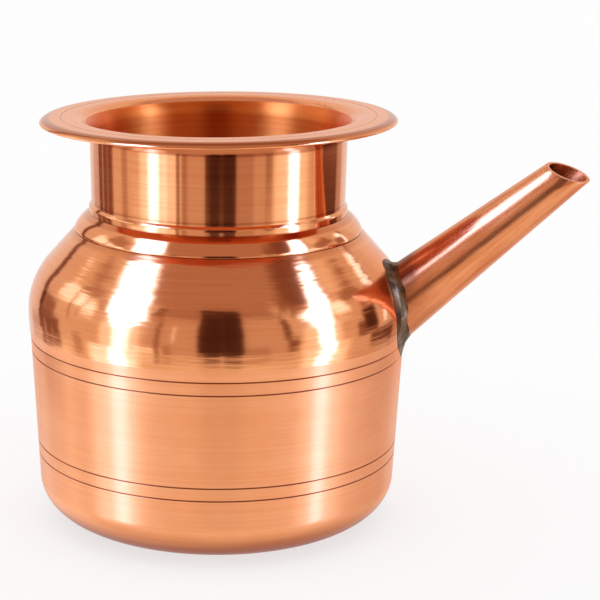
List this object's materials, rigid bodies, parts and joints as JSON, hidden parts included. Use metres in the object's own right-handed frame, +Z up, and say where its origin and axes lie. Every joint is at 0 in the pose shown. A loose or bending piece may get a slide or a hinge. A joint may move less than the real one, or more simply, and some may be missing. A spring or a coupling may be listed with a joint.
{
  "type": "spouted lota",
  "caption": "Round copper water pot with a wide flanged neck, scribed body and a straight tapered pouring spout.",
  "frame": {"origin": "centre of the flat underside of the base", "axes": "+Z up along the pot's axis of revolution, +X towards the side the spout is on, +Y completes the right-handed frame"},
  "size_m": [0.1477, 0.101, 0.1092],
  "materials": {
    "copper_body": "copper, satin with fine lines round the wall and a polished shoulder",
    "copper_neck": "polished copper with fine turning lines",
    "copper_spout": "polished copper",
    "solder": "dull grey tin solder with brown flux stains"
  },
  "bodies": {
    "root": {"vessel_body": "copper_body", "neck_and_rim": "copper_neck", "spout": "copper_spout", "spout_solder": "solder", "neck_solder": "solder"}
  },
  "joints": []
}
